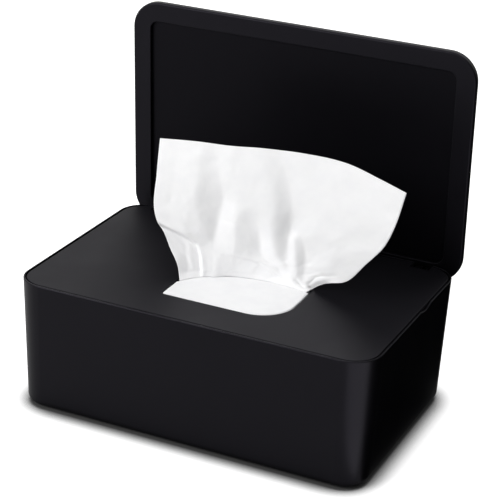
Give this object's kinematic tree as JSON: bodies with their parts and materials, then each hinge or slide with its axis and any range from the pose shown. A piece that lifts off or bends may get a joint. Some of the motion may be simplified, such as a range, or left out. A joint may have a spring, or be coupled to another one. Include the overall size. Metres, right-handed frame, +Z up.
{
  "type": "wipes dispenser",
  "caption": "Countertop wet wipes dispenser: rounded box with a removable top panel that has a dispensing opening, under a flip-up lid on rear hinges.",
  "frame": {"origin": "centre of the tub's footprint, on the table", "axes": "+X along the front to the right, +Y from the front to the hinge, +Z up"},
  "size_m": [0.19, 0.1329, 0.1845],
  "materials": {
    "black_plastic": "satin moulded black",
    "black_liner": "satin black",
    "seal_rubber": "soft silicone",
    "pad_rubber": "matt non-slip",
    "pin_steel": "drawn steel",
    "wet_wipe": "soft non-woven"
  },
  "bodies": {
    "tub": {"tub": "black_plastic", "pad_front_left": "pad_rubber", "pad_back_left": "pad_rubber", "pad_front_right": "pad_rubber", "pad_back_right": "pad_rubber", "wipes_stack": "wet_wipe", "next_wipe": "wet_wipe"},
    "panel": {"dispensing_panel": "black_plastic", "skirt_seal": "seal_rubber", "wipe_tail": "wet_wipe", "pulled_wipe": "wet_wipe"},
    "lid": {"lid_shell": "black_plastic", "lid_liner": "black_liner", "hinge_pin_left": "pin_steel", "hinge_pin_right": "pin_steel"}
  },
  "joints": [
    {"name": "panel_lift", "type": "slide", "parent": "tub", "child": "panel", "axis": [0, 0, 1], "range_m": [0, 0.06]},
    {"name": "lid_hinge", "type": "hinge", "parent": "panel", "child": "lid", "pos_m": [0, 0.0585, 0.06315], "axis": [1, 0, 0], "range_deg": [0, 87], "deforming": ["pulled_wipe"]}
  ]
}
